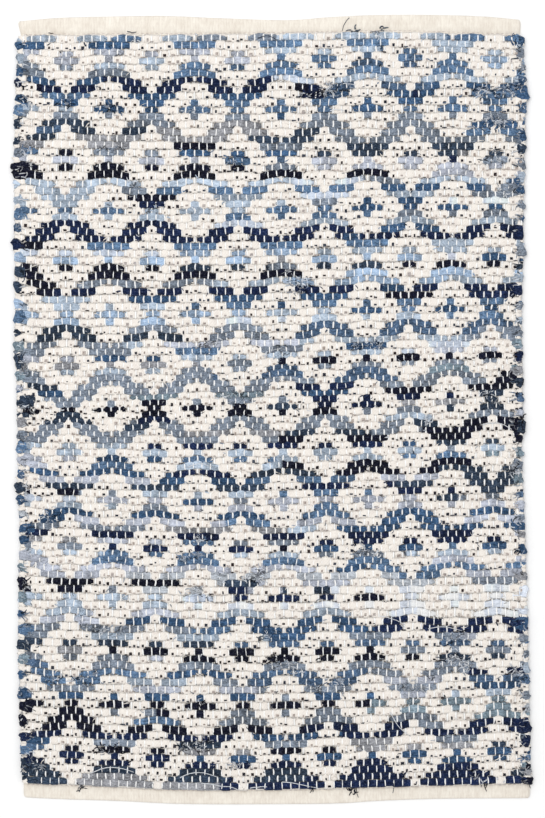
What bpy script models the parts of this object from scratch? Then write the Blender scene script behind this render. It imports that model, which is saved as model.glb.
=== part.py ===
"""Rag rug, woven in one piece: a ribbed field of denim rag and soft cotton between two turned and sewn headings.

Metres, +Z up. The weft rows run along X, the warp runs along Y, and the back of the rug lies flat on Z = 0.
Rows are counted from the far heading (+Y) to the near one (-Y).
"""

import math

import bmesh
import bpy
from mathutils import Vector

MM = 0.001

# The woven field
ROWS = 106
FIELD_THICKNESS = 8.0 * MM
FURROW_DEPTH = 1.8 * MM
CREST_HALF_WIDTH = 0.24  # of a row, from its middle to each shoulder of the rib
CREST_UNEVENNESS = 0.4 * MM
SELVEDGE_HEIGHT = 3.6 * MM  # where the turned edge stands out furthest
SELVEDGE_BELOW_TOP = 1.0 * MM  # at least, also where the field is thin
SELVEDGE_ROUND = 3.5 * MM

# The headings: the plain-woven end of the same cloth, turned under and sewn down
HEADING_THICKNESS = 2.6 * MM
HEADING_EDGE_HEIGHT = 1.3 * MM
STITCH_DEPTH = 0.6 * MM
HEM_STEP_HEIGHT = 3.2 * MM  # where the heading climbs to the first row of the field

# The back is drawn in a little all round, so that the edges are round
BACK_INSET = 1.5 * MM

# How many even widths the weave between the rounded selvedges is divided into
WIDTHS = 10

# Where the middle of a row lies, from the rug's middle, at four marker warps: the beat wanders across the width
MARKER_WARPS_MM = (-252, -68, 140, 253)
ROW_LINES_MM = (
    # row, left, inner left, inner right, right
    (1, 441, 442, 445, 442),
    (8, 382.5, 381.5, 386, 385),
    (15, 324.5, 322, 321.5, 322),
    (22, 261, 261, 265, 265),
    (29, 204, 203, 207.5, 207.5),
    (36, 140, 141.5, 145, 146),
    (43, 77, 78, 85, 86.5),
    (50, 19.5, 24.5, 30.5, 35),
    (57, -28, -28, -25.5, -22),
    (64, -82.5, -85, -80.5, -78),
    (71, -138.5, -143.5, -140.5, -138.5),
    (78, -195.5, -198, -197, -194.5),
    (85, -259, -262.5, -260, -261),
    (92, -322, -324.5, -322, -319.5),
    (99, -388.5, -391, -385.5, -381.5),
    (106, -445.5, -449, -443, -441),
)

# The selvedges, as drawn in by the weaving
SELVEDGES_MM = (
    # row, left, right
    (1, -302, 298),
    (8, -305, 302),
    (15, -307, 301.5),
    (29, -306.5, 299),
    (43, -306, 297),
    (50, -304, 298.5),
    (64, -302.5, 298),
    (71, -300.5, 301),
    (85, -302, 304.5),
    (99, -300, 307),
    (106, -297.5, 308),
)

# Every second row the rag turns back at a selvedge in a small loop, out of an odd row on the left and out of an
# even one on the right, and some loops are slack
LOOP_REACH = 2.4 * MM
LOOP_TUCK = 1.0 * MM
SLACK_LOOP_ROWS = 1.3
LEFT_SLACK_LOOPS_MM = (
    # row, reach
    (2, 2.5),
    (12, 2),
    (19, 4.5),
    (30, 2.5),
    (43, 2),
    (65, 4.5),
    (68, 3),
    (88, 2.5),
)
RIGHT_SLACK_LOOPS_MM = (
    # row, reach
    (1.5, 2.5),
    (9, 2.5),
    (31, 2.5),
    (57, 3),
    (106, 2.5),
)

# The folds that end the rug: across the width, and how far each lies from the rug's middle
FAR_FOLD_MM = (
    # across, along
    (-297, 463.5),
    (-257, 467),
    (-205, 468.5),
    (-130, 469.5),
    (-67, 467),
    (20, 464.5),
    (69, 468),
    (124, 470.5),
    (200, 470.5),
    (257, 468.5),
    (295, 465),
)
NEAR_FOLD_MM = (
    # across, along
    (-296, -462.5),
    (-257, -464.5),
    (-181, -467),
    (-105, -470.5),
    (33, -470.5),
    (86, -469.5),
    (124, -467),
    (190, -464.5),
    (308, -463.5),
)
FAR_HEADING_SIDES_MM = (-299, 295.5)
NEAR_HEADING_SIDES_MM = (-296, 307.5)

# The heading's surface, from its fold to the field
HEADING_STATIONS = (
    # share of the depth, height, how far the corner is rounded off
    (0.0, HEADING_EDGE_HEIGHT, 4.0 * MM),
    (0.06, HEADING_THICKNESS - 0.3 * MM, 1.4 * MM),
    (0.2, HEADING_THICKNESS, 0.0),
    (0.6, HEADING_THICKNESS, 0.0),
    (0.88, HEADING_THICKNESS - STITCH_DEPTH, 0.0),
)


def clear_scene():
    for old in list(bpy.data.objects):
        bpy.data.objects.remove(old, do_unlink=True)


def curve_through(points, place):
    """The smooth curve through (place, value) points, read at one place; it runs straight on past its ends."""
    last = len(points) - 1
    start = 0
    while start < last - 1 and place > points[start + 1][0]:
        start += 1

    def slope(index):
        before = points[max(index - 1, 0)]
        after = points[min(index + 1, last)]
        return (after[1] - before[1]) / (after[0] - before[0])

    (x0, y0), (x1, y1) = points[start], points[start + 1]
    if place < points[0][0]:
        return y0 + slope(0) * (place - x0)
    if place > points[last][0]:
        return y1 + slope(last) * (place - x1)
    width = x1 - x0
    t = (place - x0) / width
    rise = (slope(start) * (1 - t) - slope(start + 1) * t) * width * t * (1 - t)
    return y0 + (y1 - y0) * t * t * (3 - 2 * t) + rise


def row_line(row, across):
    """How far along the rug a row lies at a place across it; a row may be a fraction, such as a furrow at 4.5."""
    at_markers = (
        [(line[0], line[marker]) for line in ROW_LINES_MM]
        for marker in range(1, len(MARKER_WARPS_MM) + 1)
    )
    lines = [curve_through(points, row) for points in at_markers]
    return curve_through(list(zip(MARKER_WARPS_MM, lines)), across / MM) * MM


def selvedge(row, side):
    """The weave's edge at a row, with the loops of the rag: side is -1 on the left and 1 on the right."""
    column = 1 if side < 0 else 2
    slack_loops = LEFT_SLACK_LOOPS_MM if side < 0 else RIGHT_SLACK_LOOPS_MM
    edge = curve_through([(line[0], line[column]) for line in SELVEDGES_MM], row) * MM
    turn = (row + 1) / 2 if side < 0 else row / 2
    uneven = 0.75 + 0.25 * math.sin(2.7 * row + side)
    reach = LOOP_REACH * uneven * abs(math.sin(math.pi * (turn + 0.25))) - LOOP_TUCK
    for loop_row, slack in slack_loops:
        nearness = max(0.0, 1 - abs(row - loop_row) / SLACK_LOOP_ROWS)
        reach += slack * MM * nearness
    return edge + side * reach


def crest_height(row):
    """Thick and thin rags make some ribs stand higher than others."""
    return FIELD_THICKNESS - CREST_UNEVENNESS * (1 + math.sin(1.9 * row) * math.cos(0.7 * row))


def field_stations():
    """The stations of the field from its far line to its near one, each with two sides, a line and two heights."""
    stations = []
    for row in range(1, ROWS + 1):
        furrow = FIELD_THICKNESS - FURROW_DEPTH if row > 1 else HEM_STEP_HEIGHT
        crest = crest_height(row)
        for place, height in (
            (row - 0.5, furrow),
            (row - CREST_HALF_WIDTH, crest),
            (row + CREST_HALF_WIDTH, crest),
        ):
            stations.append(field_station(place, height))
    stations.append(field_station(ROWS + 0.5, HEM_STEP_HEIGHT))
    return stations


def field_station(place, height):
    return {
        "left": selvedge(place, -1),
        "right": selvedge(place, 1),
        "line": lambda across: row_line(place, across),
        "top": height,
        "edge": min(SELVEDGE_HEIGHT, height - SELVEDGE_BELOW_TOP),
        "round": SELVEDGE_ROUND,
    }


def heading_stations(fold, sides, field_row):
    """The stations of one heading, from its fold to the last one before the field."""
    stations = []
    for share, height, corner in HEADING_STATIONS:

        def line(across, share=share):
            outer = curve_through(fold, across / MM) * MM
            return outer + (row_line(field_row, across) - outer) * share

        stations.append(
            {
                "left": sides[0] * MM + corner,
                "right": sides[1] * MM - corner,
                "line": line,
                "top": height,
                "edge": HEADING_EDGE_HEIGHT,
                "round": HEADING_THICKNESS / 2,
            }
        )
    return stations


def place_vertex(vertex, stations):
    """Moves one point of the flat unit grid to its place on the rug's upper face."""
    column = round((vertex.co.x + 1) / 2 * (WIDTHS + 2))
    station = stations[round((1 - vertex.co.y) / 2 * (len(stations) - 1))]
    on_edge = column in (0, WIDTHS + 2)
    rounded = 0 if on_edge else station["round"]
    share = min(max(column - 1, 0), WIDTHS) / WIDTHS
    left, right = station["left"] + rounded, station["right"] - rounded
    across = left + (right - left) * share
    height = station["edge"] if on_edge else station["top"]
    vertex.co = Vector((across, station["line"](across), height))


def draw_in_back(shape, walls):
    """Lowers the foot of the edge walls to the floor and draws it in under the rug."""
    feet = [element for element in walls if isinstance(element, bmesh.types.BMVert)]
    half_width = max(foot.co.x for foot in feet)
    half_length = max(foot.co.y for foot in feet)
    drawn_in = (1 - BACK_INSET / half_width, 1 - BACK_INSET / half_length, 0)
    bmesh.ops.scale(shape, verts=feet, vec=drawn_in)


def in_heading(face):
    middle = face.calc_center_median()
    return middle.y > row_line(0.5, middle.x) or middle.y < row_line(ROWS + 0.5, middle.x)


def cloth_material(name, colour):
    material = bpy.data.materials.new(name)
    material.use_nodes = True
    shader = material.node_tree.nodes["Principled BSDF"]
    shader.inputs["Base Color"].default_value = (*colour, 1)
    shader.inputs["Roughness"].default_value = 0.92
    shader.inputs["Metallic"].default_value = 0
    material.diffuse_color = (*colour, 1)
    return material


def make_rug():
    """The whole cloth as one closed solid: a grid laid over the rug, walls down to the back, and one flat back."""
    stations = (
        heading_stations(FAR_FOLD_MM, FAR_HEADING_SIDES_MM, 0.5)
        + field_stations()
        + heading_stations(NEAR_FOLD_MM, NEAR_HEADING_SIDES_MM, ROWS + 0.5)[::-1]
    )
    shape = bmesh.new()
    bmesh.ops.create_grid(shape, x_segments=WIDTHS + 2, y_segments=len(stations) - 1, size=1)
    for vertex in shape.verts:
        place_vertex(vertex, stations)
    rim = [edge for edge in shape.edges if edge.is_boundary]
    walls = bmesh.ops.extrude_edge_only(shape, edges=rim)["geom"]
    draw_in_back(shape, walls)
    back_rim = [edge for edge in shape.edges if edge.is_boundary]
    bmesh.ops.edgeloop_fill(shape, edges=back_rim)
    bmesh.ops.recalc_face_normals(shape, faces=shape.faces[:])
    for face in shape.faces:
        face.material_index = int(in_heading(face))
    centre_on_origin(shape)
    mesh = bpy.data.meshes.new("rug")
    shape.to_mesh(mesh)
    shape.free()
    mesh.materials.append(cloth_material("rag_weave", (0.5, 0.54, 0.6)))
    mesh.materials.append(cloth_material("heading_canvas", (0.8, 0.76, 0.69)))
    rug = bpy.data.objects.new("rug", mesh)
    bpy.context.scene.collection.objects.link(rug)
    return rug


def centre_on_origin(shape):
    """Puts the middle of the rug's length and width on the origin, with its back on Z = 0."""
    for axis in (0, 1):
        places = [vertex.co[axis] for vertex in shape.verts]
        shift = -(min(places) + max(places)) / 2
        bmesh.ops.translate(shape, verts=shape.verts[:], vec=[shift if i == axis else 0 for i in range(3)])


clear_scene()
make_rug()
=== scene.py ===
# %% [markdown]
# # A rag rug of denim and cotton, woven row by row
# A rag rug is woven on a few hundred strong cotton threads, the warp, and its thick rows, the weft, are
# strips of worn cloth. This one has two wefts in every row: a strip of old denim and a soft cream cotton
# rope. Where one of them floats on the face, the other floats on the back, and thin tie threads hold both
# down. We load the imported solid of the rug, which gives its place and size, and then lay every strand of
# the real weave into it.

import math

import bmesh
import bpy
import numpy as np
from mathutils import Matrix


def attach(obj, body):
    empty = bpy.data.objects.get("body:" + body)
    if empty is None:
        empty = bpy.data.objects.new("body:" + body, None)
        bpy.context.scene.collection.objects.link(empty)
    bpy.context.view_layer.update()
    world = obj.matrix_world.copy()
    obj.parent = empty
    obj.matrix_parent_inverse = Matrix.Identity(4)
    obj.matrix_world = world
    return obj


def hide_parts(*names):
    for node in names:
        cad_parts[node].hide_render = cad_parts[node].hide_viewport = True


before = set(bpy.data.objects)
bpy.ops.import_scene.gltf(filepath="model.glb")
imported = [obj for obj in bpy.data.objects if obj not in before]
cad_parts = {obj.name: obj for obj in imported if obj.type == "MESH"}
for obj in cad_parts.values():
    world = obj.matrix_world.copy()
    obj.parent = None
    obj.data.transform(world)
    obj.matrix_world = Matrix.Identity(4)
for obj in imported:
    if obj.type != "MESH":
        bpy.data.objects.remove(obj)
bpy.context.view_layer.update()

MM = 0.001
chance = np.random.default_rng(106)

# %% [markdown]
# ## The lines that the weave follows
# The beater of a hand loom never packs the rows quite straight, and the selvedges draw in and let out. The
# solid was built on a few measured lines, and the strands need the same ones, so the tables are repeated
# here: where every seventh row lies at four places across the rug, where the edges are, and where the
# headings fold. Two of the row lines were read again later and differ from the solid's by up to 3.5 mm. The
# table of where four of the pattern's axes lie is for the strands alone. A smooth curve runs through the
# points. Straight rows would be simpler, but the rug would look printed.

# %% Rows, selvedges and folds, in millimetres from the middle of the rug as it lay
ROWS = 106
MARKER_WARPS_MM = (-252, -68, 140, 253)
ROW_LINES_MM = (
    # row, left, inner left, inner right, right
    (1, 441, 442, 445, 442),
    (8, 382.5, 381.5, 386, 385),
    (15, 324.5, 322, 321.5, 322),
    (22, 261, 261, 265, 265),
    (29, 204, 203, 207.5, 207.5),
    (36, 140, 141.5, 145, 146),
    (43, 77, 78, 85, 86.5),
    (50, 19.5, 24.5, 30.5, 35),
    (57, -28, -28, -25.5, -22),
    (64, -82.5, -85, -80.5, -78),
    (71, -138.5, -143.5, -140.5, -138.5),
    (78, -195.5, -198, -197, -194.5),
    (85, -259, -262.5, -260, -261),
    (92, -322, -324.5, -322, -319.5),
    (99, -386, -391, -385.5, -381.5),
    (106, -442, -448.5, -444.5, -441.5),
)
SELVEDGES_MM = (
    # row, left, right
    (1, -302, 298),
    (8, -305, 302),
    (15, -307, 301.5),
    (29, -306.5, 299),
    (43, -306, 297),
    (50, -304, 298.5),
    (64, -302.5, 298),
    (71, -300.5, 301),
    (85, -302, 304.5),
    (99, -300, 307),
    (106, -297.5, 308),
)
MARKER_UNITS = (5.5, 25.5, 40.5, 55.5)  # four of the pattern's axes, in units from the left edge
WARP_LINES_MM = (
    # row, and where each marker unit lies across it
    (5, -245, -41, 114, 265.5),
    (15, -245.5, -41, 114, 266),
    (28, -246.5, -40, 113.5, 266),
    (36, -245, -40, 113, 262.5),
    (46, -244, -38.5, 112.5, 260),
    (57, -242, -38, 113.5, 262.5),
    (69, -241, -37, 115, 263),
    (76, -240.5, -37, 115, 265.5),
    (85, -241, -37, 117, 268.5),
    (91, -240, -35, 116.5, 269.5),
    (98, -238.5, -34.5, 118.5, 269.5),
    (105, -238.5, -34, 119.5, 272),
)
FAR_FOLD_MM = (
    # across, along
    (-297, 463.5),
    (-257, 467),
    (-205, 468.5),
    (-130, 469.5),
    (-67, 467),
    (20, 464.5),
    (69, 468),
    (124, 470.5),
    (200, 470.5),
    (257, 468.5),
    (295, 465),
)
NEAR_FOLD_MM = (
    # across, along
    (-296, -462.5),
    (-257, -464.5),
    (-181, -467),
    (-105, -470.5),
    (33, -470.5),
    (86, -469.5),
    (124, -467),
    (190, -464.5),
    (308, -463.5),
)
FAR_HEADING_SIDES_MM = (-299, 295.5)
NEAR_HEADING_SIDES_MM = (-296, 307.5)
FAR_FLARE_MM = 4.5  # the far heading's left end spreads towards its fold by this much
RIGHT_FLARE_SHARE = 0.25  # and its right end by this share of that

# The solid was centred on the origin after it was built, which moved these lines by this much.
CENTRING = np.array([0.76, 0.05, 0]) * MM

# Some small things were read off in the photo's own pixels. This is its scale, and its middle pixel.
MM_PER_PIXEL = 1.19
MIDDLE_PIXEL = (272, 409.5)


def from_photo(pixel_across, pixel_down):
    """The spot on the rug, in metres, of a place in the photo."""
    across = (np.asarray(pixel_across) - MIDDLE_PIXEL[0]) * MM_PER_PIXEL * MM
    along = (MIDDLE_PIXEL[1] - np.asarray(pixel_down)) * MM_PER_PIXEL * MM
    return across, along


# %% A smooth curve through a table's points


def curve_through(points, place):
    """The smooth curve through (place, value) points, at one place or many. Past its ends it is straight."""
    at, value = np.array(points, float).T
    before = np.concatenate(([at[0]], at, [at[-1]]))
    worth = np.concatenate(([value[0]], value, [value[-1]]))
    slope = (worth[2:] - worth[:-2]) / (before[2:] - before[:-2])
    place = np.asarray(place, float)
    inside = np.clip(place, at[0], at[-1])
    start = np.clip(np.searchsorted(at, inside, side="right") - 1, 0, len(at) - 2)
    width = at[start + 1] - at[start]
    t = (inside - at[start]) / width
    rise = (slope[start] * (1 - t) - slope[start + 1] * t) * width * t * (1 - t)
    curve = value[start] + (value[start + 1] - value[start]) * t * t * (3 - 2 * t) + rise
    return curve + (place - inside) * np.where(place < at[0], slope[0], slope[-1])


def column(table, number):
    """The (first column, chosen column) points of a table."""
    return [(line[0], line[number]) for line in table]


def row_line(row, across):
    """How far along the rug a row lies at places across it. A furrow is a half row, such as 4.5."""
    at_markers = [curve_through(column(ROW_LINES_MM, 1 + n), row) for n in range(len(MARKER_WARPS_MM))]
    return curve_through(list(zip(MARKER_WARPS_MM, at_markers)), np.asarray(across) / MM) * MM


def across_of(row, unit):
    """Where a row has a unit across the rug: the warp wanders by a few millimetres along its length."""
    at_markers = [curve_through(column(WARP_LINES_MM, 1 + n), row) for n in range(len(MARKER_UNITS))]
    return curve_through(list(zip(MARKER_UNITS, at_markers)), unit) * MM


def edges_at(row):
    """The left and the right edge of the weave at a row."""
    left, right = (curve_through(column(SELVEDGES_MM, side), row) * MM for side in (1, 2))
    return left, right


for checked in (1, ROWS // 2, ROWS):
    left, right = edges_at(checked)
    along = float(row_line(checked, 0.0))
    print(f"row {checked}: {(right - left) / MM:.0f} mm wide, {along / MM:.0f} mm along")

# %% [markdown]
# ## The draft
# A weaver notes a pattern as a draft: a little chart of which weft is on the face. Ours repeats every ten
# floats across and every fourteen rows along, and makes rows of stepped waves with a small flower between
# them. In odd rows the tie threads cross the middle of each unit, so denim can start with half a block, and
# in even rows they lie between the units. The shape could be worked out by a formula, but a chart is what a
# weaver would read.

# %% The draft, one letter for each unit: # is denim on the face
UNITS = 59
DRAFT = (
    ".###...###",
    "###.....##",
    "##...#...#",
    "#...###...",
    "##...#...#",
    "###.....##",
    ".###...###",
    "..###.###.",
    "...#####..",
    "#...###...",
    "##...#...#",
    "#...###...",
    "...#####..",
    "..###.###.",
)
LAST_ROWS = {105: "####...###", 106: "#####.####"}


def denim_on_face(row):
    """Which of a row's units show denim, as ones and zeros."""
    line = LAST_ROWS.get(row, DRAFT[(row - 1) % len(DRAFT)])
    return np.array([line[unit % len(line)] == "#" for unit in range(UNITS)], float)


denim_share = np.mean([denim_on_face(row).mean() for row in range(1, ROWS + 1)])
print(f"denim covers {denim_share:.0%} of the face")

# %% Thick cotton pushes its neighbours apart
ROW_PITCH = 8.45 * MM
SWELL = 0.072  # how much more than its share of room a cream float takes, and how much less a denim one
EVENING = 0.9  # what is left of a bulge one row further on, after the beater
BEATEN_FLAT = 0.35  # what is left of a bulge that points towards the beater
STRAIGHT_ROWS = 7  # over this many rows the bulges fade towards the straight seam of the near heading
SHARING_UNITS = 11  # a float's room is what it takes beyond the mean of this many round it


def bulges():
    """How far down each unit of each row is pushed: cream is thick and denim thin, so the waves arch."""
    pushed = np.zeros((ROWS + 2, UNITS))
    carried = np.zeros(UNITS)
    around = np.ones(SHARING_UNITS) / SHARING_UNITS
    for row in range(1, ROWS + 1):
        room = 1 - 2 * denim_on_face(row)
        room -= np.convolve(np.pad(room, SHARING_UNITS // 2, mode="reflect"), around, "valid")
        room = np.convolve(np.pad(room, 1, mode="edge"), (0.25, 0.5, 0.25), "valid")
        pushed[row] = carried + room / 2
        carried = (carried + room) * EVENING
    pushed = np.where(pushed > 0, BEATEN_FLAT * pushed, pushed)
    pushed *= np.clip((ROWS - np.arange(ROWS + 2)) / STRAIGHT_ROWS, 0, 1)[:, None]
    return (pushed - pushed.mean(axis=1, keepdims=True)) * 2 * SWELL * ROW_PITCH


BULGES = bulges()


def along_of(row, unit, across=None):
    """How far along the rug a strand lies at a row and a unit, bulges and all."""
    across = across_of(row, unit) if across is None else across
    below = int(np.clip(math.floor(row), 0, ROWS))
    share = row - below
    at_row = BULGES[below] * (1 - share) + BULGES[below + 1] * share
    return row_line(row, across) - np.interp(unit, np.arange(UNITS) + 0.5, at_row)


print(f"the waves arch by up to {np.abs(BULGES).max() * 1000:.1f} mm")

# %% [markdown]
# ## The rags
# The denim strips come from many garments, from raw indigo and black to stone-washed sky blue, and one row
# is often pieced from several. The weaver's list below goes through the rows from the far end and names the
# rags of each row from its left edge, with the unit where the next one takes over. Random shades would give
# the same speckle, but not the dark and pale bands that make this rug the one it is.

# %% The shades of the rags, as seen in daylight
RAG_SHADES = {
    "ink": (15, 18, 36),
    "char": (46, 60, 78),
    "navy": (22, 35, 66),
    "indigo": (54, 82, 114),
    "dusk": (74, 97, 125),
    "mid": (87, 114, 145),
    "slate": (120, 130, 144),
    "grey": (138, 139, 144),
    "steel": (122, 140, 152),
    "wash": (164, 178, 194),
    "sky": (152, 174, 200),
    "ash": (176, 182, 190),
    "lilac": (174, 179, 192),
    "pale": (196, 206, 222),
    "ice": (222, 229, 241),
}

# %% The rags of each row, from the far end, each with the unit where it ends
RAGS_BY_ROW = """
wash 10 mid 15 wash 20 slate 30 wash 50 mid
indigo 15 mid 47 wash
lilac 28 wash 42 mid 48 wash
lilac 13 wash 20 lilac 30 mid 53 sky
slate 8 wash 19 mid 38 dusk 47 mid 53 sky
slate 16 mid
indigo 10 navy 30 pale 36 wash
ink 3 navy 31 ink 34 navy 36 dusk 48 indigo
mid 10 indigo 33 navy 36 indigo 46 navy 47 indigo 50 mid
indigo 20 mid 38 indigo 50 mid
wash 9 indigo 17 mid 38 indigo 45 mid
slate 29 indigo 33 slate
char 10 slate 19 grey 31 slate 53 indigo
dusk 6 char 16 grey 30 char 36 slate 51 mid
char 6 grey 27 char 37 slate
grey 16 ink 27 slate 35 char
mid 4 ink 9 slate 18 indigo 34 char 51 grey 54 char
lilac 23 mid 33 lilac 49 navy 53 slate
ink 28 slate 34 lilac
ink 44 lilac
wash 32 pale 40 slate 46 wash 57 indigo
wash 10 slate 16 mid 42 indigo 54 slate
wash 10 ink 20 wash 30 pale 41 wash 50 slate
wash 13 navy 19 wash 33 slate 39 indigo 49 pale
mid 15 wash 28 mid 38 indigo 48 indigo
wash 22 mid 42 slate
navy 19 pale 30 wash
navy 41 indigo 49 navy
navy 38 indigo 40 navy
ink 4 mid 46 wash
pale 17 sky 33 wash 43 wash
sky 30 grey 33 sky 49 lilac 53 indigo
ink 19 char 29 slate 34 char 45 ink
ink 36 sky
ink 5 slate 22 wash 31 sky 50 wash
ink 4 navy 42 indigo 46 navy
wash 12 indigo 41 ink 49 navy
wash 19 mid 30 indigo 34 mid
sky 29 wash 38 indigo 43 mid 48 indigo
sky 23 pale 34 wash 50 mid
char 11 slate 30 dusk
char 20 slate 31 dusk 54 slate
slate 12 wash 17 lilac 33 wash 52 slate
slate 16 mid 26 slate 36 indigo 45 pale 54 steel
lilac 8 indigo 18 wash 43 pale 48 lilac
grey 21 slate 30 ink
slate 5 wash 18 slate 29 dusk 35 slate
slate 23 dusk 45 steel
char 6 slate 36 dusk 45 slate 56 ink
indigo 6 slate 31 navy 41 slate 55 ink
slate 13 steel 30 indigo 40 ink
slate 13 ink 19 slate 33 navy 53 char
ink 29 char 34 navy 44 grey 54 char
char 9 ink 38 slate 49 char
char 9 slate 14 navy 18 slate 40 wash 50 slate
slate 12 char 16 slate 46 char 50 ink
slate 19 grey 31 char 41 slate 47 ink
slate 30 ink
wash 14 navy 44 indigo 48 char
wash 48 slate 53 wash
lilac 8 indigo 18 mid 30 wash 44 mid 54 steel
lilac 4 mid 18 wash 31 ink 55 slate
indigo 18 navy 27 char 37 ink 49 char
lilac 16 indigo 27 mid 40 lilac 52 char
char 30 navy 44 char
ink 7 slate 14 wash 30 mid 42 navy 53 char
pale 9 lilac 18 indigo 24 slate 28 lilac 47 char 51 slate
wash 13 slate 18 lilac 32 mid 39 lilac
indigo 33 mid 43 indigo
indigo 6 lilac 24 mid 31 lilac 41 indigo 50 lilac
slate 17 grey 31 wash 37 indigo
navy 56 lilac
grey 8 lilac 18 mid 25 slate 34 navy
slate 10 navy 29 ink 33 indigo 46 mid 52 indigo
wash 10 mid 24 wash 34 slate 45 wash
lilac 5 mid 48 lilac
lilac 36 indigo 41 mid
lilac 12 ash 44 mid 51 lilac
ink 20 ash 24 char 28 lilac 40 ash 50 slate
ink 9 slate 13 ash 24 navy 27 lilac 31 char 36 ice
wash 18 pale 25 navy 38 ink 44 ice
wash 18 pale 24 ice
wash 8 lilac 20 wash 41 ice
lilac 11 indigo 40 navy
slate 20 mid 27 indigo 41 navy
slate 8 wash 29 indigo 35 slate 52 lilac
char 24 dusk
char 3 grey 10 ink 43 slate
slate 14 lilac 18 ink 49 char
dusk 5 slate
mid 16 indigo 27 dusk 41 slate 52 navy
mid 12 wash 22 slate 27 dusk 40 lilac 51 dusk
slate 12 lilac 28 slate 50 indigo
indigo 28 slate 33 indigo 42 lilac 49 wash
ink 41 steel
ink 10 slate 16 ink 23 slate 40 steel
ink 11 mid 19 slate 52 steel
ink 33 navy 46 slate 50 navy
navy 27 indigo 38 navy
indigo 4 slate 16 char 25 slate 36 grey 45 slate
dusk 4 ink 18 grey 28 ink 39 grey 54 char
navy 19 indigo
navy 43 indigo 57 wash
char 34 navy 57 steel
char 5 grey 15 char 24 navy 27 char 33 navy 56 char
char 6 grey 23 navy
""".split("\n")[1:-1]


def linear(colour):
    """An everyday 0 to 255 colour as the linear light that Blender works in."""
    share = np.array(colour, float) / 255
    return np.where(share < 0.04045, share / 12.92, ((share + 0.055) / 1.055) ** 2.4)


RAG_UNEVENNESS = 0.2  # how much lighter or darker one rag can be than the next of its shade
BLOCK_UNEVENNESS = 0.28  # and one float of it than the next
PALEST = 0.85  # no rag is washed paler than this
END_UNEVENNESS = 0.4  # how far from its listed unit a rag can end
LIST_START_MM = -302.6  # the weaver's lists count even steps from here, whatever the warp does
LIST_STEP_MM = 10.23


def rag_colours(row, units):
    """The denim's linear colour at places along a row, in units from its left edge."""
    words = RAGS_BY_ROW[row - 1].split() + [str(UNITS + 1)]
    names, ends = words[0::2], np.array(words[1::2], float)
    ends[:-1] += chance.uniform(-END_UNEVENNESS, END_UNEVENNESS, len(ends) - 1)
    shades = np.array([linear(RAG_SHADES[name]) for name in names])
    shades *= 1 + RAG_UNEVENNESS * chance.uniform(-1, 1, (len(names), 1))
    listed = (across_of(row, units) / MM - LIST_START_MM) / LIST_STEP_MM
    which = np.minimum(np.searchsorted(ends, listed), len(names) - 1)
    block = 1 + BLOCK_UNEVENNESS * chance.uniform(-1, 1, UNITS + 2)
    block = block[np.clip(units + 0.5 * (row % 2) + 0.5, 0, UNITS + 1).astype(int), None]
    return np.minimum(shades[which] * block, PALEST)


rag_count = sum(len(line.split()) // 2 + 1 for line in RAGS_BY_ROW)
print(len(RAGS_BY_ROW), "rows of rags,", rag_count, "rags in all")

# %% [markdown]
# ## A strand
# Every strand of the rug, thick or thin, is the same shape: a closed tube with an oval section that follows
# a path. A curve with a bevel could do it, but a float is wide and flat at its middle and pinched where a
# tie crosses it, and two hundred wefts have to stay light. So a straight tube is made once with Blender's
# cone and subdivide operators, an Array modifier joins as many copies as there are strands, and each ring
# of each copy is then moved to its path.

# %% Straight tubes, and many copies of one


def straight_tube(rings, heights):
    """A closed tube along Z with a side for each height, and the number of each vertex's ring and side.

    Only faces whose sides are up are smooth, so that an underside doesn't darken the edge of the strand
    above it.
    """
    sides = len(heights)
    shape = bmesh.new()
    bmesh.ops.create_cone(shape, cap_ends=True, segments=sides, radius1=1, radius2=1, depth=2)
    long_edges = [edge for edge in shape.edges if abs(edge.verts[0].co.z - edge.verts[1].co.z) > 1]
    bmesh.ops.subdivide_edges(shape, edges=long_edges, cuts=rings - 2)
    places = np.array([vertex.co for vertex in shape.verts])
    ring = np.round((places[:, 2] + 1) / 2 * (rings - 1)).astype(int)
    turn = np.arctan2(places[:, 1], places[:, 0]) / (2 * math.pi)
    side = np.round((turn - turn[0]) * sides).astype(int) % sides
    shape.verts.index_update()
    for face in shape.faces:
        height = np.mean([heights[side[vertex.index]] for vertex in face.verts])
        face.smooth = len(face.verts) == 4 and height > 0
    mesh = bpy.data.meshes.new("tube")
    shape.to_mesh(mesh)
    shape.free()
    return mesh, ring, side


def joined_copies(mesh, count):
    """One mesh with many copies of another, all in one place."""
    holder = bpy.data.objects.new("copies", mesh)
    bpy.context.scene.collection.objects.link(holder)
    copies = holder.modifiers.new("copies", "ARRAY")
    copies.count = count
    copies.use_relative_offset = False
    graph = bpy.context.evaluated_depsgraph_get()
    joined = bpy.data.meshes.new_from_object(holder.evaluated_get(graph))
    bpy.data.objects.remove(holder)
    bpy.data.meshes.remove(mesh)
    return joined


def finished_piece(name, mesh, points, material):
    """The mesh with its vertices at their places, as an object of the rug."""
    mesh.vertices.foreach_set("co", points.astype(np.float32).ravel())
    mesh.update()
    mesh.name = name
    mesh.materials.clear()
    mesh.materials.append(material)
    piece = bpy.data.objects.new(name, mesh)
    bpy.context.scene.collection.objects.link(piece)
    triangles = sum(len(face.vertices) - 2 for face in mesh.polygons)
    print(f"{name}: {triangles} triangles")
    return piece


def note(mesh, name, kind, values):
    """Stores one value for each vertex, for the materials to read."""
    attribute = mesh.attributes.new(name, kind, "POINT")
    field = "color" if kind == "FLOAT_COLOR" else "vector"
    attribute.data.foreach_set(field, values.astype(np.float32).ravel())


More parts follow.
